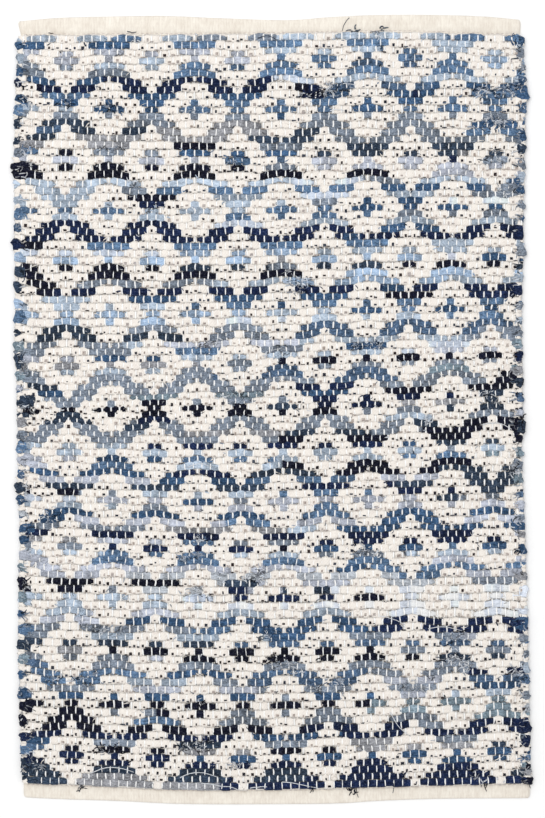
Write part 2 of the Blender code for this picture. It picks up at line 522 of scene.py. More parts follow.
def lay_strands(name, paths, half_widths, half_depths, section, material, shades=None):
    """Many strands as one piece: paths are strands x rings x 3, a section is (across, up) per side."""
    strands, rings = paths.shape[:2]
    mesh, ring, side = straight_tube(rings, [up for _, up in section])
    mesh = joined_copies(mesh, strands)
    ahead = np.gradient(paths, axis=1)
    length = np.maximum(np.hypot(ahead[..., 0], ahead[..., 1]), 1e-9)
    across = np.stack([-ahead[..., 1] / length, ahead[..., 0] / length, np.zeros_like(length)], axis=-1)
    section = np.array(section, float)
    sideways = half_widths[:, ring] * section[side, 0]
    upward = half_depths[:, ring] * section[side, 1]
    points = paths[:, ring] + across[:, ring] * sideways[..., None]
    points[..., 2] += upward
    piece = finished_piece(name, mesh, points + CENTRING, material)
    travel = np.cumsum(np.linalg.norm(np.diff(paths, axis=1, prepend=paths[:, :1]), axis=2), axis=1)
    travel += chance.uniform(0, 5, (strands, 1))
    spread = np.broadcast_to(section[side], (strands, len(side), 2))
    note(mesh, "strand", "FLOAT_VECTOR", np.concatenate([travel[:, ring][..., None], spread], axis=2))
    if shades is not None:
        opaque = np.ones((strands, rings, 1))
        note(mesh, "rag_shade", "FLOAT_COLOR", np.concatenate([shades, opaque], axis=2)[:, ring])
    return piece


DRIFT_SPREAD = 0.6  # the spread of a random drift, as a share of its reach


def wander(strands, rings, reach, softness):
    """A smooth random drift for each strand, about -reach to reach, changing over about softness rings."""
    raw = chance.normal(0, 1, (strands, rings + 4 * softness))
    window = np.hanning(2 * softness + 3)[1:-1]
    window /= np.sqrt((window**2).sum())
    smooth = np.array([np.convolve(line, window, mode="same") for line in raw])
    return reach * smooth[:, 2 * softness : 2 * softness + rings] * DRIFT_SPREAD


# %% [markdown]
# ## Shader maths in plain Python
# A material is a graph of small nodes. Writing each Math node out by hand hides the idea, so a wire here is
# a small wrapper round a socket that understands +, - and *, and one method makes every other node.

# %% A wire, and a finish that holds a material's nodes


class Wire:
    """An output socket that takes part in Python arithmetic."""

    def __init__(self, finish, socket):
        self.finish = finish
        self.socket = socket

    def maths(self, operation, first, second=0.0):
        return self.finish.node("ShaderNodeMath", {0: first, 1: second}, operation=operation)

    def __add__(self, other):
        return self.maths("ADD", self, other)

    __radd__ = __add__

    def __sub__(self, other):
        return self.maths("SUBTRACT", self, other)

    def __rsub__(self, other):
        return self.maths("SUBTRACT", other, self)

    def __mul__(self, other):
        return self.maths("MULTIPLY", self, other)

    def __pow__(self, other):
        return self.maths("POWER", self, other)

    def __gt__(self, other):
        return self.maths("GREATER_THAN", self, other)

    def __abs__(self):
        return self.maths("ABSOLUTE", self)


class Finish:
    """A material and the nodes that make its look."""

    def __init__(self, name, **constants):
        self.material = bpy.data.materials.new(name)
        self.material.use_nodes = True
        self.tree = self.material.node_tree
        self.shader = self.tree.nodes["Principled BSDF"]
        for socket, value in constants.items():
            self.shader.inputs[socket.replace("_", " ")].default_value = value

    def node(self, kind, sockets=None, output=0, stops=None, **settings):
        """A new node: its settings first, then its ramp's stops, then what goes into its sockets."""
        made = self.tree.nodes.new(kind)
        for setting, value in settings.items():
            setattr(made, setting, value)
        if stops:
            ramp = made.color_ramp.elements
            while len(ramp) < len(stops):
                ramp.new(1.0)
            for element, (place, colour) in zip(ramp, stops):
                element.position = place
                element.color = (*colour, 1)
        for socket, value in (sockets or {}).items():
            self.join(made.inputs[socket], value)
        return Wire(self, made.outputs[output])

    def join(self, socket, value):
        if isinstance(value, Wire):
            self.tree.links.new(value.socket, socket)
        else:
            socket.default_value = value

    def show(self, **inputs):
        """Feeds the shader's own sockets."""
        for socket, wire in inputs.items():
            self.join(self.shader.inputs[socket.replace("_", " ")], wire)

    def place(self, scale=(1, 1, 1), turn=0.0):
        """The spot on the rug, in metres, stretched and turned for a pattern."""
        spot = self.node("ShaderNodeTexCoord", output="Object")
        return self.node("ShaderNodeMapping", {"Vector": spot, "Rotation": (0, 0, turn), "Scale": scale})

    def noise(self, scale, stretch=(1, 1, 1), detail=3.0, rough=0.6):
        sockets = {"Vector": self.place(stretch), "Scale": scale, "Detail": detail, "Roughness": rough}
        return self.node("ShaderNodeTexNoise", sockets)

    def waves(self, scale, distortion, detail=2.0, turn=0.0, **settings):
        spot = self.place(turn=turn)
        sockets = {"Vector": spot, "Scale": scale, "Distortion": distortion, "Detail": detail}
        return self.node("ShaderNodeTexWave", sockets, **settings)

    def blend(self, share, first, second, kind="MIX"):
        """Two colours mixed: Mix has its colour sockets at 6 and 7, and its colour result at 2."""
        sockets = {0: share, 6: first, 7: second}
        return self.node("ShaderNodeMix", sockets, output=2, data_type="RGBA", blend_type=kind)

    def bump(self, height, distance, strength):
        return self.node("ShaderNodeBump", {"Height": height, "Distance": distance, "Strength": strength})


def solid_colour(colour):
    return (*linear(colour), 1.0)


# %% [markdown]
# ## Finish: worn denim
# Denim is blue on the warp and white on the weft, so even a dark rag is finely flecked, its cut edges are
# pale and fluffy, and washing has left streaks along the strip. The shade itself comes from the weaver's
# list, stored on each ring of the strand. On top of it go streaks stretched along the row, the steep
# diagonal of the twill, white flecks, and paler edges, and a pale rag varies less than a dark one. A picture
# of cloth would do this too, but it would repeat, and here nothing does.

# %% Denim rag


def denim_finish():
    cloth = Finish("denim_rag", Roughness=0.92, Sheen_Weight=0.02, Sheen_Roughness=0.6)
    cloth.shader.inputs["Specular IOR Level"].default_value = 0.06
    shade = cloth.node("ShaderNodeAttribute", output="Color", attribute_name="rag_shade")
    brightness = cloth.node("ShaderNodeRGBToBW", {0: shade})
    fading = brightness * 0.6 + 0.05  # washed rags show more white than raw ones
    strand = cloth.node("ShaderNodeAttribute", output="Vector", attribute_name="strand")
    out_to_side = abs(cloth.node("ShaderNodeSeparateXYZ", {0: strand}, output=1))
    streak = cloth.noise(250, stretch=(0.35, 1.3, 1.0), detail=5.0, rough=0.7)
    heather = cloth.noise(560, stretch=(0.75, 1.0, 1.0), detail=3.0, rough=0.75)
    twill = cloth.waves(330.0, 2.0, turn=math.radians(63))
    light = (streak * 2.9 + heather * 3.1 + twill * 0.1 - 3.05) * (1.0 - brightness * 0.9) + 1.0
    light = light.maths("MAXIMUM", light, 0.2)
    grey = cloth.node("ShaderNodeCombineColor", {0: light, 1: light, 2: light})
    faded = cloth.blend(1.0, shade, grey, "MULTIPLY")
    pale = solid_colour((210, 216, 222))
    white = (heather > 0.58) + out_to_side**4 * 0.5
    worn = cloth.blend(white * fading, faded, pale)
    cloth.show(Base_Color=worn, Roughness=0.84 + streak * 0.14)
    cloth.show(Normal=cloth.bump(streak * 0.8 + twill * 0.2 + heather * 0.5, 0.9 * MM, 0.9))
    return cloth.material


DENIM = denim_finish()
print("denim rag has", len(DENIM.node_tree.nodes), "nodes")

# %% [markdown]
# ## Finish: soft cotton rope
# The cream weft is a thick, hardly twisted rope of unbleached cotton. It is matt and a little hairy, with
# faint slanting folds where its plies wind round each other, and a few darker seed specks. Its colour
# hardly changes, so the bump does most of the work.

# %% Cream cotton


def cotton_finish(name, colour, dark, twist_scale, twist_depth):
    yarn = Finish(name, Roughness=0.95, Sheen_Weight=0.2, Sheen_Roughness=0.7)
    yarn.shader.inputs["Specular IOR Level"].default_value = 0.15
    cloud = yarn.noise(130, detail=4.0)
    fibre = yarn.noise(800, stretch=(0.4, 1.0, 1.0), detail=3.0)
    twist = yarn.waves(twist_scale, 3.0, turn=math.radians(35))
    speck = yarn.noise(420, detail=2.0) > 0.73
    tone = cloud * 0.7 + fibre * 0.5 + twist * 0.12
    ramp = [(0.35, linear(dark)), (0.72, linear(colour))]
    shade = yarn.node("ShaderNodeValToRGB", {0: tone}, stops=ramp)
    yarn.show(Base_Color=yarn.blend(speck * 0.25, shade, solid_colour((170, 150, 128))))
    yarn.show(Roughness=0.9 + fibre * 0.1)
    yarn.show(Normal=yarn.bump(twist * 0.2 + fibre * 0.5 + cloud * 0.9, twist_depth, 0.9))
    return yarn.material


CREAM = cotton_finish("cream_cotton", (241, 235, 227), (220, 210, 203), 120.0, 1.0 * MM)
TIE_COTTON = cotton_finish("tie_cotton", (255, 255, 254), (246, 244, 242), 500.0, 0.1 * MM)
# the main warp's grey-beige is darker than the cream, as painted shade for the deep gaps where it shows
GROUND_COTTON_PAINTED_SHADE = cotton_finish("warp_cotton_painted_shade", (196, 188, 178), (160, 152, 142), 300.0, 0.3 * MM)
print("three cottons made")

# %% [markdown]
# ## The two wefts of every row
# Each row is two strands across the whole rug. We go along the row station by station, four to a unit. In
# odd rows a tie crosses mid-unit, and in even rows between two units. The draft says which strand is up. A
# strand that changes sides dives between two stations, and a tie pinches what it crosses, so the floats come
# out as rounded blocks. At a selvedge the strand turns into its neighbour row, and each strand models its
# own half of that loop.

# %% Sizes of the wefts, in millimetres
FACE_LEVEL = 5.65
BACK_LEVEL = 2.3
TIE_DIP = 0.75  # how far a tie presses down the denim float that it crosses
COTTON_TIE_DIP = 0.55  # and the springy cotton
DENIM_HALF_WIDTH = 4.7
DENIM_HALF_DEPTH = 1.8
COTTON_HALF_WIDTH = 5.6
COTTON_HALF_DEPTH = 1.75
COTTON_SINK = 0.25  # how much lower the soft cream lies than the stiff denim
PINCH = 0.94  # a float's width where a tie crosses it
DEPTH_PINCH = 0.85  # and its depth there
DENIM_UNEVENNESS = 0.16  # how much wider or narrower one float can be than the next
COTTON_UNEVENNESS = 0.08
LEVEL_UNEVENNESS = 0.25
ALONG_UNEVENNESS = 0.45
DEPTH_UNEVENNESS = 0.06  # how much deeper or flatter one strand can be than the next
DENIM_TAPER = 0.2  # how much narrower the end of a run of floats is than its middle
COTTON_TAPER = 0.1
TAPER_UNITS = 1.3
TIP_WIDTH = 0.62  # the tip of stiff denim that reaches into its cream neighbour
TIP_DIP = 0.5
DENIM_SECTION = ((-1, 0.42), (-0.68, 0.96), (0.68, 0.96), (1, 0.42), (0.5, -0.9), (-0.5, -0.9))
COTTON_SECTION = ((-1, 0.7), (-0.5, 0.95), (0.5, 0.95), (1, 0.7), (0, -0.95))
EDGE_SQUEEZE = 0.5  # the last unit's stations crowd into this share of it, to leave room for the loop
LOOP = (
    # rows from its own row, how far inside the edge, half width, level
    (0.5, 3.6, 4.6, 5.0),
    (0.28, 4.0, 4.7, 5.2),
    (0.06, 6.2, 4.0, 5.2),
)
LOOP_HALF_DEPTH = 2.1
LOOP_UNEVENNESS = 0.2
COTTON_LOOP_SHARE = 0.9  # a cream loop's size, as a share of a denim one's
DENIM_LOOP_DROP = 0.8  # how much lower a denim loop lies, except where its rag folds over on top
COTTON_LOOP_DROP = 0.4
LOOP_DRIFT = (-1.2, 0.6)  # how far a loop can fall short of the edge, or stand out beyond it
SLACK_SWELL = 80  # how much thicker a slack loop is, for each metre that it stands out
SLACK_ROWS = 1.3  # over this many rows a slack loop fades out

LEFT_SLACK_LOOPS_MM = (
    # row, reach
    (2, 2.5),
    (12, 2),
    (19, 4.5),
    (30, 2.5),
    (43, 2),
    (65, 4.5),
    (68, 3),
    (88, 2.5),
)
RIGHT_SLACK_LOOPS_MM = (
    # row, reach
    (1.5, 2.5),
    (9, 2.5),
    (31, 2.5),
    (57, 3),
    (106, 2.5),
)

# %% The stations of a row


def stations(row):
    """Places along a row in units, whether a tie crosses each, how much denim is up, and if it is a tip."""
    up = denim_on_face(row)
    units = np.arange(UNITS)
    if row % 2:
        steps, ties = (0.12, 0.42, 0.58, 0.88), (0, 1, 1, 0)
        level = np.repeat(up, len(steps)).reshape(UNITS, len(steps))
        level[1:, 0] = np.maximum(level[1:, 0], up[:-1])
        level[:-1, -1] = np.maximum(level[:-1, -1], up[1:])
    else:
        steps, ties = (0.14, 0.5, 0.86, 1.0), (0, 0, 0, 1)
        level = np.repeat(up, len(steps)).reshape(UNITS, len(steps))
        level[:-1, -1] = (up[:-1] + up[1:]) / 2
    places = (units[:, None] + np.array(steps)).ravel()
    places = np.where(places < 1, 1 - (1 - places) * EDGE_SQUEEZE, places)
    last = UNITS - 1
    places = np.where(places > last, last + (places - last) * EDGE_SQUEEZE, places)
    tips = (level > up[:, None]).ravel() * (row % 2)
    return places, np.tile(ties, UNITS) * (places > 1) * (places < last), level.ravel(), tips


def nearness_to_end(row, places):
    """0 at places in the middle of a long run of floats, and up to 1 where denim and cream change sides."""
    changes = np.flatnonzero(np.diff(denim_on_face(row))) + 1
    distance = np.abs(places[:, None] - changes[None]).min(axis=1)
    return 1 - np.clip(distance / TAPER_UNITS, 0, 1)


def slack_at(table, row):
    """How far a slack loop stands out at a row."""
    return sum(reach * max(0.0, 1 - abs(row - at) / SLACK_ROWS) for at, reach in table) * MM


def half_loop(row, side, toward, denim):
    """The stations of half a loop, from the furrow where it meets its neighbour's half to its own row."""
    away, inside, widths, levels = np.array(LOOP).T
    lines = row + toward * away
    edge = edges_at(row + toward / 2)[0 if side < 0 else 1]
    slack = slack_at(LEFT_SLACK_LOOPS_MM if side < 0 else RIGHT_SLACK_LOOPS_MM, row + toward / 2)
    size = 1 + chance.uniform(-LOOP_UNEVENNESS, LOOP_UNEVENNESS, len(LOOP)) + SLACK_SWELL * slack
    if not denim:
        size *= COTTON_LOOP_SHARE
    reach = slack + chance.uniform(*LOOP_DRIFT) * MM
    across = edge - side * (inside * MM - reach * away / away[0])
    along = [along_of(line, 0.5 if side < 0 else UNITS - 0.5, x) for line, x in zip(lines, across)]
    drop = DENIM_LOOP_DROP if denim else COTTON_LOOP_DROP
    return np.stack([across, along, (levels - drop) * MM], axis=1), widths * size * MM


def weft_path(row, denim):
    """The path, half widths and half depths of one weft of one row, and the denim's colours along it."""
    places, ties, denim_up, tips = stations(row)
    up = denim_up if denim else 1 - denim_up
    half_width, half_depth = (
        (DENIM_HALF_WIDTH, DENIM_HALF_DEPTH) if denim else (COTTON_HALF_WIDTH, COTTON_HALF_DEPTH)
    )
    tied = ties * (up == 1)
    block = np.clip(places + 0.5 * (row % 2), 0, UNITS).astype(int)
    uneven = chance.uniform(-1, 1, (3, UNITS + 1))[:, block]
    unevenness = DENIM_UNEVENNESS if denim else COTTON_UNEVENNESS
    width = half_width * (1 + unevenness * uneven[0]) * np.where(tied > 0, PINCH, 1)
    width *= 1 - (DENIM_TAPER if denim else COTTON_TAPER) * nearness_to_end(row, places)
    dip = TIE_DIP if denim else COTTON_TIE_DIP
    level = BACK_LEVEL + (FACE_LEVEL - BACK_LEVEL) * up - dip * tied + LEVEL_UNEVENNESS * uneven[1] * up
    if denim:
        width *= np.where(tips > 0, TIP_WIDTH, 1)
        level -= TIP_DIP * tips
    else:
        level -= COTTON_SINK * up
    thickness = 1 + chance.uniform(-DEPTH_UNEVENNESS, DEPTH_UNEVENNESS)
    depth = half_depth * thickness * np.where(tied > 0, DEPTH_PINCH, 1)
    across = across_of(row, places)
    along = along_of(row, places, across) + ALONG_UNEVENNESS * uneven[2] * (up == 1) * (tied == 0) * MM
    row_path = np.stack([across, along, level * MM], axis=1)
    down_at_left = (row % 2 == 1) == denim
    start, start_widths = half_loop(row, -1, 1 if down_at_left else -1, denim)
    end, end_widths = half_loop(row, 1, -1 if down_at_left else 1, denim)
    loop_depth = np.full(len(LOOP), LOOP_HALF_DEPTH * MM)
    path = np.concatenate([start, row_path, end[::-1]])
    widths = np.concatenate([start_widths, width * MM, end_widths[::-1]])
    depths = np.concatenate([loop_depth, depth * MM, loop_depth])
    units = np.concatenate([np.full(len(LOOP), 0.3), places, np.full(len(LOOP), UNITS - 0.3)])
    return path, widths, depths, rag_colours(row, units)


def weft_paths(rows, denim):
    """The paths, sizes and colours of one kind of weft in rows that are all odd or all even."""
    paths, widths, depths, shades = (np.array(each) for each in zip(*(weft_path(row, denim) for row in rows)))
    strands, rings = widths.shape
    slow = wander(strands, rings, 0.2 * MM, 12)
    quick = wander(strands, rings, (0.1 if denim else 0.5) * MM, 3)
    paths[..., 1] += slow + quick
    paths[..., 2] += wander(strands, rings, (0.12 if denim else 0.25) * MM, 4)
    widths *= 1 + wander(strands, rings, 0.05, 5)
    depths *= 1 + wander(strands, rings, 0.05, 5)
    return paths, widths, depths, shades


# %% Lay the wefts
ODD_ROWS = range(1, ROWS + 1, 2)
EVEN_ROWS = range(2, ROWS + 1, 2)
field_pieces = []
for rows, kind in ((ODD_ROWS, "odd"), (EVEN_ROWS, "even")):
    paths, widths, depths, shades = weft_paths(rows, denim=True)
    field_pieces.append(
        lay_strands(f"denim_weft_{kind}_rows", paths, widths, depths, DENIM_SECTION, DENIM, shades)
    )
    paths, widths, depths, _ = weft_paths(rows, denim=False)
    field_pieces.append(lay_strands(f"cotton_weft_{kind}_rows", paths, widths, depths, COTTON_SECTION, CREAM))

# %% [markdown]
# ## The tie threads
# A tie thread runs the whole length of the rug. It passes over the face of one row and under the back of the
# next, and its neighbour does the opposite. Over the denim each pass shows as a short white dash. Only the
# dashes could be modelled, but one continuous thread for each is as light, and it shows on the back as well.

# %% Lay the ties
TIE_OVER = 6.9
TIE_SHOULDER = 6.55
TIE_REACH = 0.39  # how far the pass over a row reaches to each side of its middle, in rows
TIE_UNDER = 0.75
TIE_HALF_WIDTH = 1.1
TIE_HALF_DEPTH = 0.5
TIE_ENDS = (0.3, ROWS + 0.7)  # the rows where a tie starts and ends
TIE_END_LEVEL = 2.0
TIE_DRIFT = 0.35
TIE_UNEVENNESS = 0.18
TIE_SECTION = ((1, -0.5), (0, 1), (-1, -0.5))


def tie_paths(over_odd):
    """The paths of the ties that pass over the odd rows, or of those that pass over the even ones."""
    units = np.arange(UNITS) + 0.5 if over_odd else np.arange(1, UNITS)
    lines, levels = [TIE_ENDS[0]], [TIE_END_LEVEL]
    for row in range(1, ROWS + 1):
        over = (row % 2 == 1) == over_odd
        lines += [row - TIE_REACH, row, row + TIE_REACH] if over else [row]
        levels += [TIE_SHOULDER, TIE_OVER, TIE_SHOULDER] if over else [TIE_UNDER]
    lines.append(TIE_ENDS[1])
    levels.append(TIE_END_LEVEL)
    paths = np.zeros((len(units), len(lines), 3))
    for number, (line, level) in enumerate(zip(lines, levels)):
        paths[:, number, 0] = across_of(line, units)
        paths[:, number, 1] = along_of(line, units)
        paths[:, number, 2] = level * MM
    paths[..., 0] += wander(*paths.shape[:2], TIE_DRIFT * MM, 2)
    paths[..., 0] += chance.normal(0, TIE_UNEVENNESS * MM, paths.shape[:2])
    return paths


for over_odd, kind in ((True, "odd"), (False, "even")):
    paths = tie_paths(over_odd)
    widths = np.full(paths.shape[:2], TIE_HALF_WIDTH * MM) * (1 + wander(*paths.shape[:2], 0.12, 2))
    depths = np.full(paths.shape[:2], TIE_HALF_DEPTH * MM)
    field_pieces.append(lay_strands(f"ties_over_{kind}_rows", paths, widths, depths, TIE_SECTION, TIE_COTTON))

# %% [markdown]
# ## Rags that fold over at the selvedges
# Where a rag turns into its next row, the fold often spreads out flat on top, as a patch up to two rows
# long. Between such patches the edge is cream. The loops above are all alike, so each broad fold is a short,
# wide strand of its own, laid from the inside to the edge. No two are the same, so they follow a list, read
# down both edges.

# %% The broad folds, in the photo's pixels
LEFT_TURNS = (
    # top, bottom, reach inwards, shade
    (42, 50, 9, "indigo"),
    (53, 65, 10, "wash"),
    (67, 76, 8, "indigo"),
    (79, 88, 7, "navy"),
    (94, 103, 12, "indigo"),
    (104, 116, 14, "mid"),
    (118, 128, 7, "char"),
    (137, 145, 7, "char"),
    (147, 158, 11, "slate"),
    (162, 171, 22, "ink"),
    (171, 180, 18, "ink"),
    (195, 204, 11, "wash"),
    (207, 220, 12, "mid"),
    (223, 232, 8, "dusk"),
    (238, 250, 10, "navy"),
    (251, 262, 10, "sky"),
    (265, 278, 13, "char"),
    (281, 294, 9, "char"),
    (299, 309, 11, "sky"),
    (310, 324, 13, "mid"),
    (341, 352, 13, "steel"),
    (353, 370, 13, "char"),
    (371, 381, 13, "steel"),
    (385, 391, 8, "lilac"),
    (394, 409, 21, "char"),
    (417, 428, 12, "grey"),
    (430, 440, 13, "slate"),
    (441, 453, 13, "mid"),
    (455, 466, 11, "lilac"),
    (471, 479, 8, "dusk"),
    (482, 493, 12, "char"),
    (495, 505, 8, "indigo"),
    (510, 517, 9, "ash"),
    (523, 534, 18, "indigo"),
    (535, 545, 14, "indigo"),
    (549, 561, 14, "lilac"),
    (563, 572, 6, "steel"),
    (577, 590, 11, "ink"),
    (592, 603, 12, "steel"),
    (610, 617, 7, "indigo"),
    (623, 637, 18, "mid"),
    (639, 650, 13, "char"),
    (653, 665, 14, "steel"),
    (671, 680, 7, "indigo"),
    (686, 699, 13, "indigo"),
    (701, 712, 15, "ink"),
    (715, 727, 9, "ink"),
    (732, 742, 13, "navy"),
    (745, 755, 14, "mid"),
    (757, 772, 18, "char"),
)
RIGHT_TURNS = (
    # top, bottom, reach inwards, shade
    (36, 47, 12, "indigo"),
    (48, 60, 9, "slate"),
    (65, 71, 5, "slate"),
    (75, 86, 12, "dusk"),
    (87, 100, 14, "indigo"),
    (106, 113, 8, "dusk"),
    (128, 142, 9, "indigo"),
    (143, 155, 10, "char"),
    (158, 169, 9, "slate"),
    (172, 183, 9, "wash"),
    (184, 195, 12, "indigo"),
    (200, 209, 8, "slate"),
    (215, 221, 5, "indigo"),
    (225, 240, 12, "navy"),
    (242, 256, 13, "slate"),
    (263, 270, 8, "char"),
    (273, 282, 9, "wash"),
    (284, 296, 12, "navy"),
    (302, 310, 7, "slate"),
    (317, 323, 7, "wash"),
    (325, 337, 14, "slate"),
    (338, 349, 11, "steel"),
    (351, 363, 9, "navy"),
    (365, 376, 15, "grey"),
    (377, 388, 12, "char"),
    (392, 403, 9, "dusk"),
    (409, 417, 7, "lilac"),
    (419, 433, 12, "char"),
    (435, 443, 9, "ink"),
    (446, 458, 8, "steel"),
    (460, 472, 13, "slate"),
    (472, 485, 12, "steel"),
    (491, 498, 9, "dusk"),
    (500, 509, 9, "lilac"),
    (514, 521, 10, "slate"),
    (522, 530, 14, "indigo"),
    (531, 538, 10, "grey"),
    (543, 555, 9, "indigo"),
    (571, 581, 14, "grey"),
    (585, 597, 8, "ice"),
    (607, 615, 10, "ice"),
    (616, 632, 15, "indigo"),
    (634, 643, 10, "slate"),
    (651, 657, 5, "slate"),
    (662, 673, 9, "wash"),
    (674, 685, 9, "dusk"),
    (690, 700, 8, "slate"),
    (703, 713, 6, "ash"),
    (717, 734, 14, "navy"),
    (735, 747, 11, "navy"),
    (755, 761, 8, "mid"),
    (764, 769, 9, "ink"),
    (770, 776, 11, "grey"),
    (776, 785, 11, "ink"),
)

# %% Lay the broad folds
TURN_SHAPE = (
    # share of the way out to the edge, share of the width, level, half depth
    (0.0, 0.4, 4.8, 1.2),
    (0.18, 0.8, 5.5, 1.75),
    (0.5, 1.0, 5.8, 1.9),
    (0.82, 1.0, 5.6, 1.85),
    (0.95, 0.84, 4.9, 1.6),
    (1.0, 0.5, 4.0, 1.2),
)
TURN_OVERHANG = 0.5
TURN_LEAN = 1.2
TURN_FAN = 0.5  # how much wider one end of a fold can be than its other


def turn_paths(side, turns, slack_table):
    """The paths, sizes and colours of the broad folds down one edge."""
    out, share, level, depth = np.array(TURN_SHAPE).T
    lines = np.arange(ROWS + 2)
    down_the_edge = [-float(row_line(line, side * 0.3)) for line in lines]
    paths, widths, shades = [], [], []
    for top, bottom, reach, name in turns:
        _, along = from_photo(0, (top + bottom) / 2)
        row = np.interp(-along, down_the_edge, lines)
        edge = edges_at(row)[0 if side < 0 else 1] + side * (slack_at(slack_table, row) + TURN_OVERHANG * MM)
        across = edge - side * reach * MM_PER_PIXEL * MM * (1 - out)
        lean = chance.uniform(-TURN_LEAN, TURN_LEAN) * (out - 0.5) + chance.normal(0, 0.25, len(out))
        paths.append(np.stack([across, along + lean * MM, level * MM], axis=1))
        fan = 1 + chance.uniform(-TURN_FAN, TURN_FAN) * (out - 0.5)
        half_width = (bottom - top) / 2 * MM_PER_PIXEL * MM
        widths.append(half_width * share * fan * chance.uniform(0.92, 1.08, len(out)))
        shade = linear(RAG_SHADES[name]) * (1 + RAG_UNEVENNESS * chance.uniform(-1, 1))
        shades.append(np.tile(shade, (len(out), 1)))
    depths = np.tile(depth * MM, (len(turns), 1))
    return np.array(paths), np.array(widths), depths, np.array(shades)


for side, name, turns, slack_table in (
    (-1, "left_turns", LEFT_TURNS, LEFT_SLACK_LOOPS_MM),
    (1, "right_turns", RIGHT_TURNS, RIGHT_SLACK_LOOPS_MM),
):
    paths, widths, depths, shades = turn_paths(side, turns, slack_table)
    field_pieces.append(lay_strands(name, paths, widths, depths, DENIM_SECTION, DENIM, shades))

# %% [markdown]
# ## Denim peeping through
# Where cream is on the face, the denim of the same row lies under it, and between two ties a little of it
# peeps out below the cotton as a dark fleck. The flecks are what gives the pale parts their stitched look.
# Each is a small uneven lump, pushed up through the cotton, coloured as its rag darkened with painted shade,
# or as the painted shadow of a deep gap, with a thinner dash beside it at some ties.

# %% Where the flecks are
FLECK_KINDS = {
    # kind: (share of places with one, how far below the row's middle, level, half sizes across, along, up)
    "spot": (0.8, 2.0, 7.0, ((0.8, 2.1), (0.8, 2.2), (0.6, 0.9))),
    "dash": (0.55, 3.6, 6.9, ((1.0, 2.9), (0.35, 0.8), (0.5, 0.8))),
}
# Each fleck's colour is painted shade: its rag darkened by FLECK_SHADOW, or the painted shadow of a deep gap,
# which over a pale rag is a warm grey brightened by painted light coming back from it.
FLECK_SHADOW = 0.4
SHADOW_ONLY_FLECKS = 0.2  # the share of spots that are only a deep gap
DEEP_GAP_PAINTED_SHADE = (52, 42, 42)
SHALLOW_GAP_PAINTED_SHADE = (196, 178, 164)  # and how a gap looks where the rag beneath is pale
SHALLOW_GLOW = 1.3  # how much brighter that is, for the light that comes back from the pale rag
PALE_DARK_SHARE = 0.4  # over a pale rag, deep gaps are rarer by this
PALE_RAG = 0.2  # linear brightness from which a rag counts as pale


def fleck_spots():
    """Row, unit and kind of every fleck: spots stand midway between two ties, and dashes at a tie."""
    spots = []
    for row in range(1, ROWS + 1):
        cream = denim_on_face(row) < 0.5
        middles = [unit + 0.5 for unit in range(UNITS) if cream[unit]]
        seams = [unit for unit in range(1, UNITS) if cream[unit - 1] and cream[unit]]
        spots += [(row, unit, "spot" if row % 2 else "dash") for unit in seams]
        spots += [(row, unit, "dash" if row % 2 else "spot") for unit in middles]
    return [spot for spot in spots if chance.random() < FLECK_KINDS[spot[2]][0]]


def fleck_colour(row, unit):
    """Painted shade: the rag darkened, or a deep gap's painted shadow, or a warm grey where the rag beneath
    is pale.
    """
    shade = rag_colours(row, np.array([unit]))[0]
    pale = shade.mean() > PALE_RAG
    if chance.random() < SHADOW_ONLY_FLECKS * (PALE_DARK_SHARE if pale else 1):
        return linear(DEEP_GAP_PAINTED_SHADE)
    # over a pale rag the gap's painted shade is a warm grey, brightened as painted bounce light; elsewhere it
    # is a near-black painted shadow
    gap = linear(SHALLOW_GAP_PAINTED_SHADE) * SHALLOW_GLOW if pale else linear(DEEP_GAP_PAINTED_SHADE)
    return (gap + shade * FLECK_SHADOW) / 2


# %% Lay the flecks
spots = fleck_spots()
lump = bmesh.new()
bmesh.ops.create_cube(lump, size=2)
lump_mesh = bpy.data.meshes.new("lump")
lump.to_mesh(lump_mesh)
lump.free()
corners = np.array([vertex.co for vertex in lump_mesh.vertices])
corners[corners[:, 2] > 0, :2] *= 0.8
fleck_mesh = joined_copies(lump_mesh, len(spots))
middles, sizes, colours = [], [], []
for row, unit, kind in spots:
    _, below, level, spans = FLECK_KINDS[kind]
    middles.append((across_of(row, unit), along_of(row, unit) - below * MM, level * MM))
    sizes.append([chance.uniform(*span) * MM for span in spans])
    colours.append(fleck_colour(row, unit))
middles = np.array(middles, float) + chance.normal(0, 0.45 * MM, (len(spots), 3)) * (1, 0.8, 0.3)
points = middles[:, None] + corners[None] * np.array(sizes)[:, None]
points += chance.normal(0, 0.16 * MM, points.shape) + CENTRING
flecks = finished_piece("denim_flecks", fleck_mesh, points, DENIM)
colours = np.repeat(np.array(colours)[:, None], len(corners), axis=1)
opaque = np.ones((*colours.shape[:2], 1))
note(fleck_mesh, "rag_shade", "FLOAT_COLOR", np.concatenate([colours, opaque], axis=2))
note(fleck_mesh, "strand", "FLOAT_VECTOR", np.zeros((len(spots), len(corners), 3)))
field_pieces.append(flecks)

# %% [markdown]
# ## The ground of the weave
# Between the face and the back lies the main warp, a close sheet of straight cotton ends that nothing shows
# of but a shadow in the deepest gaps. Its cotton is real, but its grey-beige, darker than the cream, is
# painted shade for those gaps. In the rug it is the one true sheet, the size that the weaver measures, flat,
# from fold to fold. Here a closed slab with one ring of corners for every second row follows the edges, from
# the first row to the last.

# %% Lay the main warp
GROUND_LEVEL = 4.0
GROUND_THICKNESS = 0.9
GROUND_INSET = 2.5


def fold_line(far, across):
    return curve_through(FAR_FOLD_MM if far else NEAR_FOLD_MM, np.asarray(across) / MM) * MM


def ground_points(grid_points):
    """Maps a flat -1 to 1 grid onto the rug, a little inside its edges."""
    points = np.zeros_like(grid_points)
    for number, (u, v, _) in enumerate(grid_points):
        row = 1 + (1 - v) / 2 * (ROWS - 1)
        left, right = edges_at(row)
        across = left + GROUND_INSET * MM + (right - left - 2 * GROUND_INSET * MM) * (u + 1) / 2
        points[number] = (across, row_line(row, across), GROUND_LEVEL * MM)
    return points


